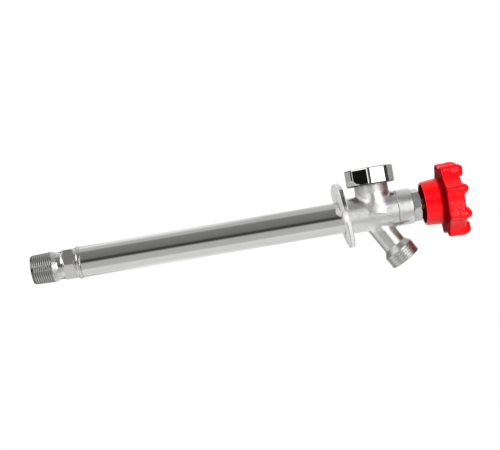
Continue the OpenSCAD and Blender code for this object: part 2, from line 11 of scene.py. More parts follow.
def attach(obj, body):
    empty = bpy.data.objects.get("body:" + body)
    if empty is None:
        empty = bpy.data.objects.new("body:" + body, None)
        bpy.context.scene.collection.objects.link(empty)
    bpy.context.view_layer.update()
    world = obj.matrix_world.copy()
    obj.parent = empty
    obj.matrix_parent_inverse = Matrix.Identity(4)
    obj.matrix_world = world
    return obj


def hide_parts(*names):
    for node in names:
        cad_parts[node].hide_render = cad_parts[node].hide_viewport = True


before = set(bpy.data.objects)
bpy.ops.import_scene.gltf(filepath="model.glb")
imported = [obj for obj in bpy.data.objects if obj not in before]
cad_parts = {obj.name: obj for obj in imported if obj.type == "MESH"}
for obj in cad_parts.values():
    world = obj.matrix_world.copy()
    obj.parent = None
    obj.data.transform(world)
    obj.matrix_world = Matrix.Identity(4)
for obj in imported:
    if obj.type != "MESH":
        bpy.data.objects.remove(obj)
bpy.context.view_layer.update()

MM = 0.001
TAU = 2 * math.pi
# Lean of the wall flange
LEAN = math.radians(6)
# Neck's and spout's places on the axis in millimetres, and the spout's direction
NECK_X, SPOUT_X = 29.5, 23.7
SPOUT = np.array([0.5, 0, -math.sin(math.pi / 3)])
# Tube: radius, bore, its end in the inlet's collar and its end in the body
TUBE_R, TUBE_BORE, COLLAR, TUBE_ENTRY = 13.335, 12.135, -225.4, 15.5
# Inlet: free end, end of its thread's crests, wrench hexagon from and to
INLET_END, THREAD_END, HEX_FROM, HEX_TO = -267.8, -249.66, -239.8, -230.6
# Body: end face of the barrel, and the spout's radius and bore
BODY_END, SPOUT_R, SPOUT_BORE = 48, 10.1, 6.5
# Hose thread: crest's radius, pitch, first station and end
HOSE_R, HOSE_PITCH, HOSE_FROM, HOSE_END = 13.495, 2.209, 40.1, 51
# Packing nut's ends, vacuum breaker's cap from its rim to its top and to a flat, and the handle's stations
NUT_FROM, NUT_TO = 61.3, 68
CAP_RIM, CAP_TOP, CAP_FLAT = 23.7, 38.5, 19.7
SKIRT_END, WHEEL_BACK, WHEEL_FRONT = 71, 87.4, 103.1


# Shapes

def grid_quads(rows, cols, closed_rows, closed_cols):
    """Faces of a grid of points, which may close on itself along either parameter."""
    i = np.arange(rows if closed_rows else rows - 1)[:, None]
    j = np.arange(cols if closed_cols else cols - 1)[None, :]
    cap_rim_shade, beside = (i + 1) % rows, (j + 1) % cols
    corners = (i * cols + j, i * cols + beside, cap_rim_shade * cols + beside, cap_rim_shade * cols + j)
    return np.stack(np.broadcast_arrays(*corners), -1).reshape(-1, 4)


def put_piece(name, points, faces, body, node, finish, sharp=None, normals=None):
    """One mesh from points and lists of faces, turned outwards by the sign of its volume, and set on its body."""
    volume = sum(np.sum(points[f[:, 0]] * np.cross(points[f[:, k]], points[f[:, k + 1]]))
                 for f in faces for k in range(1, f.shape[1] - 1))
    rings = [ring for f in faces for ring in (f if volume > 0 else f[:, ::-1]).tolist()]
    mesh = bpy.data.meshes.new(name)
    mesh.from_pydata(points * MM, [], rings)
    mesh.validate()
    mesh.shade_smooth()
    if sharp:
        mesh.set_sharp_from_angle(angle=math.radians(sharp))
    if normals is not None:
        mesh.normals_split_custom_set_from_vertices(normals)
    mesh.materials.append(finish)
    piece = bpy.data.objects.new(name, mesh)
    bpy.context.scene.collection.objects.link(piece)
    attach(piece, body)
    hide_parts(node)
    return piece


def rounded_profile(corners, steps=6, close=0.15):
    """Closed outline through corners (x, r, radius): an arc tangent to both sides stands for each corner. Points set
    close to the arcs' ends keep the straight runs between them flat in the light."""
    spots = np.array([c[:2] for c in corners], float)
    arcs = []
    for spot, before, after, corner in zip(spots, np.roll(spots, 1, 0), np.roll(spots, -1, 0), corners):
        u, v = before - spot, after - spot
        u, v = u / np.hypot(*u), v / np.hypot(*v)
        half = 0.5 * math.acos(np.clip(u @ v, -1, 1))
        bend = math.pi - 2 * half
        centre = spot + (u + v) / np.hypot(*(u + v)) * corner[2] / math.sin(half)
        start, end = (spot + w * corner[2] / math.tan(half) - centre for w in (u, v))
        k = np.linspace(0, 1, steps)[:, None]
        arcs.append(centre + (np.sin((1 - k) * bend) * start + np.sin(k * bend) * end) / math.sin(bend))
    outline = []
    for arc, after in zip(arcs, arcs[1:] + arcs[:1]):
        run = after[0] - arc[-1]
        length = np.hypot(*run)
        near = close * run / length
        outline += [arc, arc[-1:] + near, after[:1] - near] if length > 4 * close else [arc]
    return np.concatenate(outline)


def finer(profile, x0, x1, step):
    """The closed profile with points added on its runs between two stations, a step apart or less."""
    ends = np.roll(profile, -1, 0)
    middle = (profile[:, 0] + ends[:, 0]) / 2
    runs = np.hypot(*(ends - profile).T)
    count = np.where((middle > x0) & (middle < x1), np.maximum(1, np.ceil(runs / step)), 1).astype(int)
    row = np.repeat(np.arange(len(profile)), count)
    k = (np.arange(len(row)) - np.repeat(np.cumsum(count) - count, count)) / count[row]
    return profile[row] + k[:, None] * (ends - profile)[row]


def turned(profile, cols, shape=None):
    """The profile (x, r) carried round the X axis. shape(x, r, angle) gives the radius where it isn't round."""
    angle = TAU * np.arange(cols)[None, :] / cols
    x, r = profile[:, :1] + 0 * angle, profile[:, 1:] + 0 * angle
    if shape:
        r = shape(x, r, angle)
    return np.stack([x, -r * np.cos(angle), -r * np.sin(angle)], -1)


def put_turned(name, profile, cols, body, node, finish, shape=None, place=None, sharp=40):
    """A turned piece with a closed profile, on the X axis or brought to its place."""
    points = turned(profile, cols, shape).reshape(-1, 3)
    if place:
        points = place(points)
    return put_piece(name, points, [grid_quads(len(profile), cols, True, True)], body, node, finish, sharp)


def polygon_radius(angle, sides, flat, corner, turn):
    """Radius of a regular polygon with round corners: the flat's distance over the cosine from the flat's middle,
    and near a corner the far side of a circle that touches both flats."""
    step = TAU / sides
    from_corner = (angle - turn + step / 2) % step - step / 2
    straight = flat / np.cos(step / 2 - np.abs(from_corner))
    centre = (flat - corner) / math.cos(step / 2)
    inside = np.maximum(corner ** 2 - (centre * np.sin(from_corner)) ** 2, 0)
    arc = centre * np.cos(from_corner) + np.sqrt(inside)
    touch = math.atan2(corner * math.sin(step / 2), centre + corner * math.cos(step / 2))
    return np.where(np.abs(from_corner) < touch, arc, straight)


def blend_low(a, b, k):
    """Smaller of two fields, with a fillet about k wide where they meet."""
    h = np.maximum(k - np.abs(a - b), 0) / k
    return np.minimum(a, b) - h * h * k / 4


def blend_high(a, b, k):
    """Larger of two fields, with an edge rounded about k wide where they meet."""
    return -blend_low(-a, -b, k)


def screw_ridge(x, angle, start, pitch, half, flank=0.2):
    """Height from 0 to 1 of a right-hand screw ridge, once a turn: a flat crest, sloping flanks and a flat root. half
    is half the ridge's width at mid height and flank a flank's width, both as shares of the pitch."""
    phase = ((x - start) / pitch - angle / TAU) % 1
    return np.clip((half - np.abs(phase - 0.5)) / flank + 0.5, 0, 1)


def net_surface(field, low, high, step, rounds=5, least_slope=0.2):
    """Closed surface where the field is zero. Each grid cell that it crosses gets one point, the mean of the
    crossings on the cell's edges, each crossed edge joins its four cells, and the points then move onto the
    surface along the field's slope. Gives points, quads and the slope's directions."""
    low = np.array(low, float)
    size = np.ceil((np.array(high) - low) / step).astype(int) + 1
    spots = low + step * np.stack(np.meshgrid(*[np.arange(n) for n in size], indexing="ij"), -1)
    value = field(spots)
    keys, places, rings = [], [], []
    for axis in range(3):
        ahead = np.take(value, np.arange(1, size[axis]), axis)
        here = np.take(value, np.arange(size[axis] - 1), axis)
        cell = np.argwhere((here < 0) != (ahead < 0))
        at = tuple(cell.T)
        share = here[at] / (here[at] - ahead[at])
        place = low + step * (cell + share[:, None] * np.eye(3)[axis])
        one, two = np.eye(3, dtype=int)[(axis + 1) % 3], np.eye(3, dtype=int)[(axis + 2) % 3]
        around = [np.ravel_multi_index((cell - back).T, size) for back in (0 * one, one, one + two, two)]
        ring = np.stack(around, -1)
        rings.append(np.where((here[at] < 0)[:, None], ring, ring[:, ::-1]))
        keys += around
        places += [place] * 4
    cells, index = np.unique(np.concatenate(keys), return_inverse=True)
    places = np.concatenate(places)
    count = np.bincount(index)
    points = np.stack([np.bincount(index, places[:, k]) / count for k in range(3)], -1)
    quads = np.searchsorted(cells, np.concatenate(rings))
    for _ in range(rounds):
        slope = field_slope(field, points)
        move = field(points)[:, None] * slope / np.maximum(np.sum(slope ** 2, -1), least_slope)[:, None]
        points = points - np.clip(move, -step / 2, step / 2)
    slope = field_slope(field, points)
    return points, quads, slope / np.linalg.norm(slope, axis=-1)[:, None]


def field_slope(field, points, step=0.01):
    """Slope of a field at points, from small steps to each side."""
    return np.stack([(field(points + e) - field(points - e)) / (2 * step) for e in step * np.eye(3)], -1)


# Finishes

class Value:
    """A socket of a node tree. Arithmetic on it adds Math nodes, and make adds any other node."""

    def __init__(self, tree, socket=None):
        self.tree, self.socket = tree, socket

    def make(self, kind, settings, inputs, output=0):
        """Adds a node: its settings are set first, then its sockets get numbers or links."""
        node = self.tree.nodes.new(kind)
        for key, value in settings.items():
            if key == "stops":
                ramp = node.color_ramp.elements
                while len(ramp) < len(value):
                    ramp.new(0.5)
                for stop, (place, shade) in zip(ramp, value):
                    stop.position = place
                    stop.color = (*shade, 1) if isinstance(shade, tuple) else (shade, shade, shade, 1)
            else:
                setattr(node, key, value)
        for key, value in inputs.items():
            if isinstance(value, Value):
                self.tree.links.new(value.socket, node.inputs[key])
            else:
                node.inputs[key].default_value = value
        return Value(self.tree, node.outputs[output] if node.outputs else None)

    def maths(self, operation, first, second=0.0):
        return self.make("ShaderNodeMath", {"operation": operation}, {0: first, 1: second})

    def __add__(self, other): return self.maths("ADD", self, other)
    def __radd__(self, other): return self.maths("ADD", other, self)
    def __sub__(self, other): return self.maths("SUBTRACT", self, other)
    def __rsub__(self, other): return self.maths("SUBTRACT", other, self)
    def __mul__(self, other): return self.maths("MULTIPLY", self, other)
    def __rmul__(self, other): return self.maths("MULTIPLY", other, self)
    def __truediv__(self, other): return self.maths("DIVIDE", self, other)
    def __pow__(self, other): return self.maths("POWER", self, other)

    def noise(self, scale, detail=3.0, rough=0.5):
        return self.make("ShaderNodeTexNoise", {},
                         {"Vector": self, "Scale": scale, "Detail": detail, "Roughness": rough})

    def stretched(self, scale):
        return self.make("ShaderNodeMapping", {}, {"Vector": self, "Scale": scale})

    def between(self, low, high, to_low=0.0, to_high=1.0):
        return self.make("ShaderNodeMapRange", {"interpolation_type": "SMOOTHSTEP"},
                         {"Value": self, "From Min": low, "From Max": high, "To Min": to_low, "To Max": to_high})

    def axes(self):
        return [self.make("ShaderNodeSeparateXYZ", {}, {"Vector": self}, k) for k in range(3)]

    def tint(self, dark, light):
        return self.make("ShaderNodeMix", {"data_type": "RGBA"}, {"Factor": self, 6: (*dark, 1), 7: (*light, 1)}, 2)

    def painted(self, factor, shade):
        return self.make("ShaderNodeMix", {"data_type": "RGBA"}, {"Factor": factor, 6: self, 7: (*shade, 1)}, 2)

    def relief(self, strength, distance):
        return self.make("ShaderNodeBump", {}, {"Height": self, "Strength": strength, "Distance": distance})


def finish(name, recipe):
    """A material whose recipe gets the Object coordinates, in metres, and gives the shader's sockets. Matte, where it
    is given, is the share of a plain matte shade and that shade."""
    material = bpy.data.materials.new(name)
    material.use_nodes = True
    tree = material.node_tree
    tree.nodes.clear()
    place = Value(tree).make("ShaderNodeTexCoord", {}, {}, 3)
    sockets = recipe(place)
    share, shade = sockets.pop("Matte", (None, None))
    shader = place.make("ShaderNodeBsdfPrincipled", {}, sockets)
    if shade:
        plain = place.make("ShaderNodeBsdfPrincipled", {},
                           {"Base Color": (*shade, 1), "Roughness": 1.0, "Specular IOR Level": 0.0})
        shader = place.make("ShaderNodeMixShader", {}, {"Fac": share, 1: shader, 2: plain})
    shader.make("ShaderNodeOutputMaterial", {}, {"Surface": shader})
    return material


def mirror_chrome(place):
    """Polished plating: hair-fine polishing lines round the piece, faint smudges, and painted shade on the rim under
    the vacuum breaker's cap, which is rougher there too."""
    z = place.axes()[2]
    # painted shade: the rim under the cap is painted near black, where shade falls under it
    cap_rim_shade = z.between(0.0200, 0.0230) * z.between(0.0250, 0.0247)
    lines = place.stretched((6000, 60, 60)).noise(1.0, 2.0)
    smudge = place.noise(38.0, 4.0).between(0.45, 0.75)
    plating = smudge.tint((0.74, 0.735, 0.72), (0.70, 0.695, 0.68))
    return {"Base Color": plating.painted(cap_rim_shade, (0.12, 0.12, 0.12)), "Metallic": 1.0,
            "Roughness": 0.025 + 0.02 * smudge + 0.015 * lines + 0.3 * cap_rim_shade, "Normal": lines.relief(0.02, 0.00002)}


def plated_fitting(place):
    """Turned plating: lathe lines round the axis, faint stains, a duller cone behind the pipe thread, and painted
    shade over the pipe thread, darkest in its roots."""
    x, y, z = place.axes()
    below_crest = (y * y + z * z) ** 0.5 - (x - THREAD_END * MM) / 32
    # painted shade: the pipe thread is darkened, most in its roots
    pipe_thread_shade = x.between(-0.2492, -0.2498) * (0.5 + 0.4 * below_crest.between(0.01308, 0.01290))
    cone = x.between(-0.2500, -0.2495) * x.between(-0.2455, -0.2462)
    lines = place.stretched((9000, 40, 40)).noise(1.0, 2.0)
    spots = place.noise(300.0, 5.0, 0.6).between(0.5, 0.8)
    plating = spots.tint((0.70, 0.695, 0.68), (0.60, 0.585, 0.56))
    return {"Base Color": plating.painted(pipe_thread_shade, (0.10, 0.10, 0.105)), "Metallic": 1.0,
            "Roughness": 0.12 + 0.26 * cone + 0.08 * spots + 0.04 * lines, "Normal": lines.relief(0.06, 0.00003)}


def satin_casting(place):
    """Plating over a blasted casting: fine grain, soft hills left by the mould, coarser on the neck, uneven gloss,
    neck and spout painted darker, as a duller plating and, on the spout, a painted shade over the handle's
    reflection, and painted shade over the hose thread."""
    x, _, z = place.axes()
    # painted shade: the hose thread is darkened
    thread = ((x - SPOUT_X * MM) * SPOUT[0] + z * SPOUT[2]).between(0.0388, 0.0404)
    # neck and spout darker: a duller plating, and on the spout a painted shade that dims the handle's red reflection
    dull_and_shaded_arms = (z * z).between(0.000225, 0.000342)
    neck = z.between(0.0140, 0.0180)
    grain = place.noise(2600.0, 3.0, 0.6)
    hills = place.noise(420.0, 3.0)
    patches = place.noise(90.0, 4.0).between(0.35, 0.7)
    plating = patches.tint((0.86, 0.86, 0.845), (0.77, 0.77, 0.755))
    plating = plating.painted(0.8 * dull_and_shaded_arms, (0.58, 0.583, 0.55))
    return {"Base Color": plating.painted(0.3 * thread, (0.30, 0.30, 0.29)), "Metallic": 1.0,
            "Roughness": 0.25 + 0.04 * dull_and_shaded_arms + 0.10 * neck + 0.10 * patches + 0.06 * grain,
            "Normal": (grain * 0.4 + hills + 1.6 * neck * hills).relief(0.42, 0.0003)}


def cast_plate(place):
    """Thin plating on a rough plate: pale, dull and grainy, satin on the upper edge, and painted shade along the
    lower edge's corners."""
    x, _, z = place.axes()
    depth = x * math.cos(LEAN) + z * math.sin(LEAN)
    rim = depth.between(0.0003, 0.0008) * depth.between(0.0042, 0.0040) * z.between(0.003, 0.006)
    # painted shade: grey lines along the lower edge's corners, where shade falls
    corners = (depth.between(0.0000, 0.0004) * depth.between(0.0012, 0.0008)
               + depth.between(0.0032, 0.0037) * depth.between(0.0042, 0.0040)) * z.between(-0.003, -0.006)
    grain = place.noise(2200.0, 3.0, 0.6)
    patches = place.noise(120.0, 4.0).between(0.35, 0.7)
    plating = patches.tint((0.97, 0.965, 0.945), (0.92, 0.915, 0.895)).painted(0.7 * corners, (0.40, 0.40, 0.39))
    return {"Base Color": plating.painted(rim, (0.66, 0.67, 0.66)), "Metallic": 0.5 + 0.5 * rim,
            "Roughness": 0.46 - 0.41 * rim + 0.10 * patches + 0.06 * grain,
            "Normal": (grain * 0.5 + patches).relief(0.25, 0.00015)}


def satin_nut(place):
    """Dull plating on a hexagon: milled lines and uneven gloss."""
    lines = place.stretched((3000, 120, 120)).noise(1.0, 3.0)
    patches = place.noise(160.0, 4.0).between(0.35, 0.7)
    return {"Base Color": patches.tint((0.64, 0.65, 0.64), (0.56, 0.565, 0.555)), "Metallic": 1.0,
            "Roughness": 0.13 + 0.08 * patches, "Normal": lines.relief(0.08, 0.00004)}


def bare_brass(place):
    """Turned brass with lathe lines and a little tarnish."""
    lines = place.stretched((7000, 50, 50)).noise(1.0, 2.0)
    tarnish = place.noise(220.0, 4.0).between(0.45, 0.75)
    return {"Base Color": tarnish.tint((0.50, 0.36, 0.15), (0.34, 0.23, 0.10)), "Metallic": 1.0,
            "Roughness": 0.26 + 0.16 * tarnish, "Normal": lines.relief(0.10, 0.00004)}


def spring_steel(place):
    """Rolled steel with fine scratches."""
    scratch = place.stretched((900, 5200, 900)).noise(1.0, 3.0)
    return {"Base Color": scratch.tint((0.56, 0.56, 0.57), (0.68, 0.68, 0.69)), "Metallic": 1.0,
            "Roughness": 0.26 + 0.14 * scratch, "Normal": scratch.relief(0.08, 0.00003)}


def black_rubber(place):
    """Moulded rubber with a dusty bloom."""
    bloom = place.noise(500.0, 4.0).between(0.4, 0.75)
    return {"Base Color": bloom.tint((0.02, 0.02, 0.02), (0.05, 0.05, 0.048)), "Roughness": 0.62 + 0.2 * bloom,
            "Normal": place.noise(3500.0, 2.0).relief(0.2, 0.00004)}


def fibre_gasket(place):
    """Pressed fibre sheet with short strands."""
    strands = place.stretched((2500, 700, 2500)).noise(1.0, 4.0)
    return {"Base Color": strands.tint((0.30, 0.29, 0.28), (0.46, 0.45, 0.43)), "Roughness": 0.75 + 0.15 * strands,
            "Normal": strands.relief(0.3, 0.00006)}


def graphite_packing(place):
    """Braided packing, dark and slightly shiny."""
    braid = place.stretched((1500, 1500, 900)).noise(1.0, 3.0)
    return {"Base Color": braid.tint((0.05, 0.05, 0.055), (0.16, 0.16, 0.17)), "Roughness": 0.45 + 0.2 * braid,
            "Normal": braid.relief(0.4, 0.0001)}


def white_plastic(place):
    """Moulded plastic with a faint grain."""
    cloud = place.noise(180.0, 3.0)
    return {"Base Color": cloud.tint((0.82, 0.82, 0.80), (0.88, 0.88, 0.86)), "Roughness": 0.36 + 0.1 * cloud,
            "Normal": place.noise(2400.0, 2.0).relief(0.08, 0.00004)}


def red_enamel(place):
    """Thick glossy enamel: soft runs and orange peel, and painted shade: a dark matte red in the skirt's hollow, on
    the wheel's back and at the skirt's root.
    """
    x, y, z = place.axes()
    radius = (y * y + z * z) ** 0.5
    # painted shade: dark matte red where shade falls, in the skirt's hollow, on the wheel's back and at the skirt's
    # root
    hollow = radius.between(0.0172, 0.0166) * x.between(0.0880, 0.0868)
    runs = place.noise(70.0, 3.0).between(0.3, 0.7)
    peel = place.noise(950.0, 2.0, 0.4)
    back = radius.between(0.0206, 0.0219) * x.between(0.0891, 0.0877)
    root = radius.between(0.0232, 0.0219) * x.between(0.0820, 0.0860) * x.between(0.0905, 0.0880)
    painted_shade = hollow.maths("MAXIMUM", hollow.maths("MAXIMUM", hollow, 0.95 * back), 0.95 * root)
    return {"Base Color": runs.tint((0.93, 0.0, 0.003), (0.98, 0.001, 0.006)), "Roughness": 0.16 + 0.06 * peel,
            "Specular IOR Level": 0.32, "Matte": (painted_shade, (0.23, 0.001, 0.004)),
            "Normal": (peel * 0.3 + runs).relief(0.05, 0.0002)}


FINISHES = {f.__name__: finish(f.__name__, f) for f in (
    mirror_chrome, plated_fitting, satin_casting, cast_plate, satin_nut, bare_brass, spring_steel, black_rubber,
    fibre_gasket, graphite_packing, white_plastic, red_enamel)}


# Pieces on the tube's axis

put_turned("casing_tube_chrome", rounded_profile([
    (COLLAR, TUBE_BORE, 0.1), (COLLAR, TUBE_R, 0.35), (TUBE_ENTRY, TUBE_R, 0.1), (TUBE_ENTRY, TUBE_BORE, 0.1)]), 256,
    "housing", "casing_tube", FINISHES["mirror_chrome"])


def inlet_radius(x, r, angle):
    """Outside of the inlet: screw ridges on a slight cone, which fade out at both ends, and a hexagon whose corners
    are turned off."""
    start, runout = np.clip((x + 268.1) / 2.2, 0, 1), np.clip((-249.9 - x) / 1.2, 0, 1)
    thread = (r > 11) & (x < -249.6)
    groove = 1 - screw_ridge(x, angle, INLET_END, 1.814, 0.34)
    r = np.where(thread, r - 0.28 * groove * start * runout - 0.9 * (1 - start), r)
    hexagon = polygon_radius(angle, 6, 12.65, 0.6, 0)
    turned_off = 13.0 + 1.9 * np.minimum(x - HEX_FROM, HEX_TO - x)
    on_hexagon = (r > 12.5) & (x > HEX_FROM - 0.1) & (x < HEX_TO + 0.1)
    return np.where(on_hexagon, np.minimum(r, blend_low(hexagon, turned_off + 0 * angle, 0.3)), r)


inlet_profile = rounded_profile([
    (INLET_END, 7.975, 0.4), (INLET_END, 12.53, 0.5), (THREAD_END, 13.1, 0.2), (-246.2, 12.15, 0.4),
    (-244.9, 11.8, 0.4), (-241.9, 11.8, 0.4), (-240.6, 12.2, 0.3), (HEX_FROM, 12.2, 0.3), (HEX_FROM, 14.55, 0.1),
    (HEX_TO, 14.55, 0.1), (HEX_TO, 12.9, 0.3), (-228.4, 12.9, 0.3), (-228.4, 14, 0.8), (COLLAR, 14, 0.8),
    (COLLAR, 12.085, 0.1), (-213.4, 12.085, 0.3), (-213.4, 10.3, 0.3), (-242, 10.3, 0.2), (-242, 5.5, 0.8),
    (-255.1, 5.5, 0.3), (-255.1, 7.975, 0.2)], 5)
inlet_profile = finer(finer(inlet_profile, INLET_END, -249.6, 0.16), HEX_FROM, -230.5, 0.3)
put_turned("inlet_threaded_end", inlet_profile, 192, "housing", "inlet_fitting",
           FINISHES["plated_fitting"], inlet_radius)

put_turned("bonnet_ring", rounded_profile([
    (39, 7.9, 0.2), (39, 12.785, 0.4), (48.5, 12.785, 0.2), (48.5, 15.385, 0.3), (61, 15.385, 0.7),
    (61, 11, 0.4), (65.7, 11, 0.4), (65.7, 9.1, 0.3), (56, 9.1, 0.2), (56, 7.9, 0.2)]), 192,
    "housing", "bonnet", FINISHES["satin_casting"])


def nut_radius(x, r, angle):
    """Outside of the packing nut: a hexagon whose corners are turned off at both ends."""
    hexagon = polygon_radius(angle, 6, 12.6, 0.6, math.radians(12.6))
    turned_off = 13.3 + 1.6 * np.minimum(x - NUT_FROM, NUT_TO - x)
    return np.where(r > 11.6, np.minimum(r, blend_low(hexagon, turned_off + 0 * angle, 0.3)), r)


put_turned("packing_nut_hexagon", finer(rounded_profile([
    (NUT_FROM, 11.05, 0.2), (NUT_FROM, 14.5, 0.1), (NUT_TO, 14.5, 0.1), (NUT_TO, 5.3, 0.3), (66, 5.3, 0.2),
    (66, 11.05, 0.2)]), NUT_FROM - 0.1, NUT_TO + 0.1, 0.3), 288,
    "housing", "packing_nut", FINISHES["satin_nut"], nut_radius)

put_turned("bonnet_gasket_edge", rounded_profile([
    (48.03, 12.9, 0.1), (48.03, 15.25, 0.1), (48.47, 15.25, 0.1), (48.47, 12.9, 0.1)], 4), 192,
    "housing", "bonnet_gasket", FINISHES["fibre_gasket"])


# Wall flange

def flange_outline(count, edge_r=38.9, edge_z=11.9, slot_y=27, slot_r=4.2, soft=0.8):
    """Half of the edge is a gentle top arc, the round edge, and the slot's two walls and round end. With its mirror
    image it makes one loop, which is spread evenly and blurred a little, so that its corners turn round."""
    def arc(cy, cz, r, a0, a1):
        a = np.linspace(a0, a1, 400)
        return np.stack([cy + r * np.cos(a), cz + r * np.sin(a)], -1)
    corner, round_edge = math.atan2(103.5, 37.25), math.atan2(11.2, 37.25)
    upper, lower = math.asin((slot_r - edge_z) / edge_r), math.asin((-slot_r - edge_z) / edge_r)
    half = np.concatenate([
        arc(0, -80.4, 110, math.pi / 2, corner), arc(0, edge_z, edge_r, round_edge, upper),
        arc(slot_y, 0, slot_r, math.pi / 2, 1.5 * math.pi), arc(0, edge_z, edge_r, lower, -math.pi / 2)])
    loop = np.concatenate([half, half[-2:0:-1] * [-1, 1]])
    ends = np.roll(loop, -1, 0)
    travel = np.concatenate([[0], np.cumsum(np.hypot(*(ends - loop).T))])
    even = np.linspace(0, travel[-1], count, endpoint=False)
    loop = np.concatenate([loop, loop[:1]])
    even_loop = np.stack([np.interp(even, travel, loop[:, k]) for k in (0, 1)], -1)
    wave = np.fft.fftfreq(count, travel[-1] / count)
    blur = np.exp(-2 * (math.pi * wave * soft) ** 2)
    return np.real(np.fft.ifft(np.fft.fft(even_loop, axis=0) * blur[:, None], axis=0))


def flange_plate(count=900, thick=4.2, edge=0.9, crisp=0.4, hole=14.635):
    """Rows of loops: the hole's edge, the wall face, the rounded edge that follows the outline, and the front face,
    whose own edge is crisper. The faces run from the hole's loop to the outline's loop in straight lines."""
    loop = flange_outline(count)
    along = np.roll(loop, -1, 0) - np.roll(loop, 1, 0)
    along /= np.linalg.norm(along, axis=1)[:, None]
    outward = np.stack([-along[:, 1], along[:, 0]], -1)
    angle = math.pi / 2 - TAU * np.arange(count) / count
    ring = hole * np.stack([np.cos(angle), np.sin(angle)], -1)
    bend = np.linspace(0, math.pi / 2, 7)
    rows = [(ring, 0.0)]
    rows += [(ring + k * (loop - edge * outward - ring), 0.0) for k in (0.35, 0.7)]
    rows += [(loop - edge * (1 - math.sin(a)) * outward, edge * (1 - math.cos(a))) for a in bend]
    rows += [(loop, edge + 0.15), (loop, thick - crisp - 0.15)]
    rows += [(loop - crisp * (1 - math.sin(a)) * outward, thick - crisp * (1 - math.cos(a))) for a in bend[::-1]]
    rows += [(ring + k * (loop - crisp * outward - ring), thick) for k in (0.7, 0.35)]
    rows += [(ring, thick)]
    flat = np.stack([np.column_stack([np.full(count, x), yz]) for yz, x in rows])
    x, y, z = flat[..., 0], flat[..., 1], flat[..., 2]
    return np.stack([x * math.cos(LEAN) - z * math.sin(LEAN), y, x * math.sin(LEAN) + z * math.cos(LEAN)], -1)


plate = flange_plate()
put_piece("wall_flange_plate", plate.reshape(-1, 3), [grid_quads(len(plate), plate.shape[1], True, True)], "housing",
          "wall_flange", FINISHES["cast_plate"], 40)


# Body casting

def along_spout(p):
    """Distance along the spout's axis and from it."""
    away = p - np.array([SPOUT_X, 0, 0])
    run = away @ SPOUT
    return run, np.linalg.norm(away - run[..., None] * SPOUT, axis=-1)


def body_field(p):
    """Barrel, neck and spout joined with fillets, minus the water ways. Negative inside the metal."""
    x, y, z = p[..., 0], p[..., 1], p[..., 2]
    from_axis = np.hypot(y, z)
    from_neck = np.hypot(x - NECK_X, y)
    from_wall = x * math.cos(LEAN) + z * math.sin(LEAN)
    run, from_spout = along_spout(p)
    barrel = blend_high(blend_high(from_axis - 15.235, x - BODY_END, 0.6), 4.25 - from_wall, 0.6)
    neck = blend_high(blend_high(from_neck - 14.35, z - 26.4, 1.0), -z, 0.5)
    spout = np.maximum(np.maximum(from_spout - SPOUT_R, run - 35.4), -run)
    metal = blend_low(blend_low(barrel, neck, 3.0), spout, 2.5)
    tail = np.maximum(from_axis - 14.585, np.maximum(0.4 - from_wall, x - TUBE_ENTRY))
    metal = np.minimum(metal, tail)
    ways = np.minimum(np.maximum(from_axis - 13.385, x - TUBE_ENTRY), np.maximum(from_axis - 11.035, 15 - x))
    ways = np.minimum(ways, np.maximum(from_axis - 12.835, 38.7 - x))
    ways = np.minimum(ways, np.maximum(from_neck - 10.75, -z))
    ways = np.minimum(ways, np.maximum(from_spout - SPOUT_BORE, -run))
    return blend_high(metal, -ways, 0.4)


points, quads, normals = net_surface(body_field, (-3.3, -17.4, -37.4), (51.7, 17.6, 28.2), 0.5)
put_piece("body_casting_shell", points, [quads], "housing", "body_casting",
          FINISHES["satin_casting"], normals=normals)


def spout_place(points):
    """Brings a piece that was turned round X onto the spout's axis."""
    across = np.array([-SPOUT[2], 0, SPOUT[0]])
    return np.array([SPOUT_X, 0, 0]) + points[:, :1] * SPOUT + points[:, 1:2] * [0, 1, 0] + points[:, 2:] * across


def hose_radius(x, r, angle):
    """Hose thread: screw ridges that fade out at both ends."""
    ends = np.clip((x - HOSE_FROM) / 1.6, 0, 1) * np.clip((50.5 - x) / 1.2, 0, 1)
    on_thread = (r > 13.3) & (x > HOSE_FROM)
    groove = 1 - screw_ridge(x, angle, 39.955, HOSE_PITCH, 0.36)
    return np.where(on_thread, r - 0.2 * ends * groove, r)


put_turned("hose_thread_end", finer(rounded_profile([
    (33.6, SPOUT_BORE, 0.1), (33.6, 10.0, 0.1), (35.2, SPOUT_R, 1.5), (40.0, HOSE_R, 0.9), (50.25, HOSE_R, 0.3),
    (HOSE_END, 12.35, 0.3), (HOSE_END, 9.7, 0.5), (42, 9.7, 0.3), (42, SPOUT_BORE, 0.3)], 5),
    HOSE_FROM, HOSE_END, 0.18), 160,
    "housing", "body_casting", FINISHES["satin_casting"], hose_radius, spout_place)


# Vacuum breaker's cap

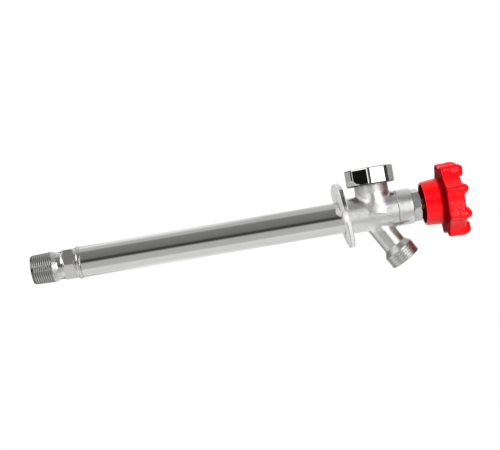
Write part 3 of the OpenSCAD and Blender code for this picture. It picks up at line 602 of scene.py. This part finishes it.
def cap_surface(cols=320):
    """Rows (height, distance to a flat, share of the octagon) from the middle of the hollow, down and round the edge
    to the middle of the top. A row's radius goes from round to the octagon by its share."""
    edge, bend = 1.3, np.linspace(0, math.pi / 2, 9)
    rows = [(36.3, 0.0, 0), (36.3, 5.0, 0), (36.3, 9.75, 0), (31.7, 9.75, 0), (31.7, 15.15, 0), (24.0, 15.15, 0)]
    rows += [(CAP_RIM, 15.45, 0), (CAP_RIM, 16.6, 0.5), (CAP_RIM, 18.5, 1)]
    rows += [(23.75, 18.6, 1), (24.75, 19.6, 1), (24.85, CAP_FLAT, 1)]
    rows += [(z, CAP_FLAT, 1) for z in np.linspace(25, 36.5, 6)]
    rows += [(CAP_TOP - edge * (1 - math.sin(a)), CAP_FLAT - edge * (1 - math.cos(a)), 1) for a in bend]
    rows += [(CAP_TOP, 14.5, 0.8), (CAP_TOP, 9.0, 0.4), (CAP_TOP, 4.0, 0.1), (CAP_TOP, 0.0, 0)]
    height, flat, share = np.array(rows).T[..., None]
    angle = TAU * np.arange(cols)[None, :] / cols
    octagon = polygon_radius(angle, 8, CAP_FLAT, 7.0, math.radians(6)) / CAP_FLAT
    r = flat * (1 + share * (octagon - 1))
    return np.stack([NECK_X - r * np.sin(angle), -r * np.cos(angle), height + 0 * angle], -1)


cap = cap_surface()
rows, cols = cap.shape[:2]
cap_points = np.concatenate([cap[1:-1].reshape(-1, 3), cap[0, :1], cap[-1, :1]])
ring, last = np.arange(cols), (rows - 3) * cols
hollow_fan = np.stack([np.full(cols, last + cols), (ring + 1) % cols, ring], -1)
top_fan = np.stack([np.full(cols, last + cols + 1), last + ring, last + (ring + 1) % cols], -1)
put_piece("breaker_cap_octagon", cap_points, [grid_quads(rows - 2, cols, False, True), hollow_fan, top_fan],
          "housing", "breaker_cap", FINISHES["mirror_chrome"], 30)


# Handle

def handle_field(p, scallop_r=23.4, scallop_at=51.4):
    """Wheel cut by eight round scallops, with rounded edges, slim knuckles and a dished front, a hub with a square
    hole, and a hollow skirt that flares towards the wheel. Negative inside."""
    x, y, z = p[..., 0], p[..., 1], p[..., 2]
    r = np.hypot(y, z)
    angle = np.arctan2(-z, -y) + math.radians(15)
    lobe = (angle + TAU / 16) % (TAU / 8) - TAU / 16
    out, side = r * np.cos(lobe), r * np.abs(np.sin(lobe))
    scallop = scallop_r - np.hypot(out - scallop_at * math.cos(TAU / 16), side - scallop_at * math.sin(TAU / 16))
    outline = blend_high(r - 32.8, scallop, 1.6)
    wheel = blend_high(blend_high(outline, WHEEL_BACK - x, 2.4), x - WHEEL_FRONT, 3.4)
    knuckle = np.hypot(np.hypot(out - np.clip(out, 24, 28.2), side), np.maximum(x - 103.6, 0)) - 3.5
    wheel = blend_low(wheel, np.maximum(knuckle, 98.3 - x), 3.0)
    dish = np.maximum(r - 21.0, 94.3 - x)
    wheel = blend_high(wheel, -dish, 2.4)
    wheel = blend_low(wheel, blend_high(r - 9.0, np.abs(x - 89.85) - 8.95, 1.2), 1.5)
    outer = r - 18.75 - 1.5 * (x - SKIRT_END) / (WHEEL_BACK - SKIRT_END)
    skirt = blend_high(blend_high(outer, 16.75 - r, 0.6), np.maximum(SKIRT_END - x, x - 88.8), 0.9)
    square = np.maximum(np.abs(y), np.abs(z)) - 3.55
    return blend_high(blend_low(wheel, skirt, 2.0), -square, 0.3)


points, quads, normals = net_surface(handle_field, (69.9, -34.2, -34.2), (108.3, 34.4, 34.4), 0.5)
put_piece("handle_wheel_red", points, [quads], "stem", "handle_wheel", FINISHES["red_enamel"],
          normals=normals)


# Pieces that keep the model's own solids

KEPT = {
    "bare_brass": ["packing_washer", "packing_gland", "breaker_guide", "washer_holder", "washer_screw", "stem_rod",
                   "spindle"],
    "spring_steel": ["float_stop_ring", "swivel_clip", "stem_pin", "handle_washer", "handle_screw"],
    "black_rubber": ["breaker_gasket", "seat_washer", "float_seal"],
    "graphite_packing": ["packing_rings"],
    "white_plastic": ["float_disc"]}
for look, nodes in KEPT.items():
    for node in nodes:
        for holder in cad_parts[node].material_slots:
            holder.material = FINISHES[look]


# Studio

def stage_piece(name, points, quads, material):
    """A surface of the studio, in metres, which isn't part of the object."""
    mesh = bpy.data.meshes.new(name)
    mesh.from_pydata(points, [], quads)
    mesh.materials.append(material)
    piece = bpy.data.objects.new(name, mesh)
    bpy.context.scene.collection.objects.link(piece)
    return piece


def studio_material(name, recipe):
    """A material whose recipe gives the whole surface shader."""
    material = bpy.data.materials.new(name)
    material.use_nodes = True
    tree = material.node_tree
    tree.nodes.clear()
    shader = recipe(Value(tree))
    shader.make("ShaderNodeOutputMaterial", {}, {"Surface": shader})
    return material


def floor_look(start):
    """Pale floor that the camera sees as white, a little darker where the object shades it."""
    direct = start.make("ShaderNodeLightPath", {}, {}, 0)
    pale = start.make("ShaderNodeBsdfDiffuse", {}, {"Color": (0.9, 0.9, 0.9, 1)})
    white = start.make("ShaderNodeEmission", {}, {"Color": (1, 1, 1, 1), "Strength": 1.06})
    return start.make("ShaderNodeMixShader", {}, {"Fac": direct * 0.9, 1: pale, 2: white})


# Floor's half width and height, and the tent's radius, in metres, and the tent's rows and columns
FLOOR_HALF, FLOOR_Z, TENT_R, TENT_ROWS, TENT_COLS = 8, -0.32, 2.4, 60, 96
floor_spots = np.array([(x * FLOOR_HALF, y * FLOOR_HALF, FLOOR_Z) for x, y in ((-1, -1), (1, -1), (1, 1), (-1, 1))])
floor = stage_piece("floor", floor_spots, np.array([[0, 1, 2, 3]]), studio_material("floor_white", floor_look))
floor.visible_glossy = floor.visible_diffuse = False


def tent_look(start):
    """Light and dark of the tent. Bands follow the angle round the tube's axis, from the camera's side upwards, and
    the windows at the ends follow the bearing from the camera's side to the right."""
    place = start.make("ShaderNodeTexCoord", {}, {}, 3)
    x, y, z = place.axes()
    degrees = 360 / TAU
    angle = start.maths("ARCTAN2", z, 0 - y) * degrees
    bearing = start.maths("ARCTAN2", x, 0 - y) * degrees
    height = start.maths("ARCTAN2", z, (x * x + y * y) ** 0.5) * degrees
    shade = angle.make("ShaderNodeValToRGB", {"stops": BAND_STOPS}, {"Fac": angle / 360 + 0.5})
    for (left, right), (bottom, top), soft, grey in WINDOWS:
        across = bearing.between(left - soft, left + soft) * bearing.between(right + soft, right - soft)
        upright = height.between(bottom - soft, bottom + soft) * height.between(top + soft, top - soft)
        shade = shade.painted(across * upright, (grey, grey, grey))
    return start.make("ShaderNodeEmission", {}, {"Color": shade, "Strength": 1.0})


# Grey of the tent at angles in degrees: the camera's side 0, straight up 90, behind 180 and -180
BANDS = [(-180, 0.95), (-150, 0.78), (-95, 0.82), (-66, 0.86), (-52, 0.56), (-15, 0.54), (-4, 0.07), (8, 0.06),
         (20, 0.20), (72, 0.26), (86, 0.56), (125, 0.62), (155, 0.9), (180, 0.95)]
BAND_STOPS = [((a + 180) / 360, g) for a, g in BANDS]
# Windows and dark cards of the tent: bearings, heights and softness in degrees, and grey
WINDOWS = [((-178, -60), (-62, 62), 10, 1.0), ((-134, -92), (-12, 48), 5, 0.06),
           ((-165, -132), (8, 40), 4, 0.08), ((-165, -118), (-52, -12), 6, 0.36), ((-152, -130), (-10, 10), 4, 0.45),
           ((22, 50), (-16, 28), 4, 2.5), ((13, 26), (-20, 30), 3, 2.7),
           ((-94, -26), (13, 44), 4, 2.2), ((-82, -40), (-14, 10), 3, 0.01),
           ((-36, -20), (-18, 12), 3, 1.3), ((32, 80), (-66, -24), 6, 0.34),
           ((78, 116), (-30, 40), 4, 0.05), ((118, 150), (-30, 40), 4, 0.38)]
swing, turn = np.meshgrid(np.radians(np.linspace(0.5, 179.5, TENT_ROWS)), TAU * np.arange(TENT_COLS) / TENT_COLS,
                          indexing="ij")
tent_spots = TENT_R * np.stack([np.cos(swing), np.sin(swing) * np.cos(turn), np.sin(swing) * np.sin(turn)], -1)
tent = stage_piece("light_tent", tent_spots.reshape(-1, 3), grid_quads(TENT_ROWS, TENT_COLS, False, True),
                   studio_material("tent_bands", tent_look))
tent.visible_camera = tent.visible_shadow = tent.visible_transmission = False

world = bpy.data.worlds.new("studio")
bpy.context.scene.world = world
world.use_nodes = True
world.node_tree.nodes.clear()
backdrop = Value(world.node_tree).make("ShaderNodeBackground", {}, {"Color": (1, 1, 1, 1), "Strength": 1.0})
backdrop.make("ShaderNodeOutputWorld", {}, {"Surface": backdrop})


def stand(side, up, look, place):
    """Place and turn of a lamp or camera, from its right, its upright and its viewing direction."""
    turn = np.stack([side, up, -look], -1)
    return Matrix([[*row, p] for row, p in zip(turn, place)] + [[0, 0, 0, 1]])


def softbox(name, place, aim, width, height, watts):
    """A rectangular lamp that faces a point."""
    lamp = bpy.data.lights.new(name, "AREA")
    lamp.shape, lamp.size, lamp.size_y, lamp.energy = "RECTANGLE", width, height, watts
    holder = bpy.data.objects.new(name, lamp)
    look = np.array(aim, float) - np.array(place, float)
    look /= np.linalg.norm(look)
    side = np.cross(look, [0, 0, 1])
    side /= np.linalg.norm(side)
    holder.matrix_world = stand(side, np.cross(side, look), look, place)
    holder.visible_glossy = False
    bpy.context.scene.collection.objects.link(holder)


softbox("key_softbox", (0.5, -1.5, 0.9), (0, 0, 0), 0.9, 0.7, 20)
softbox("low_softbox", (0.6, -1.2, -0.2), (0.09, 0, 0), 0.5, 0.2, 3)


# Camera: level, almost square to the tube, turned so that the handle's end points up to the right

TILT, YAW = math.radians(9.69), math.radians(1.0)
ahead = np.array([math.sin(YAW), math.cos(YAW), 0])
level = np.array([math.cos(YAW), -math.sin(YAW), 0])
right = level * math.cos(TILT) - np.array([0, 0, math.sin(TILT)])
up = level * math.sin(TILT) + np.array([0, 0, math.cos(TILT)])
AIM, DISTANCE = np.array([-0.0783, 0, 0.00706]), 1.05
camera = bpy.data.cameras.new("camera")
camera.lens, camera.sensor_width, camera.clip_end = 88.2, 36.0, 50.0
holder = bpy.data.objects.new("camera", camera)
holder.matrix_world = stand(right, up, ahead, AIM - DISTANCE * ahead)
bpy.context.scene.collection.objects.link(holder)
bpy.context.scene.camera = holder
bpy.context.scene.view_settings.view_transform = "Standard"
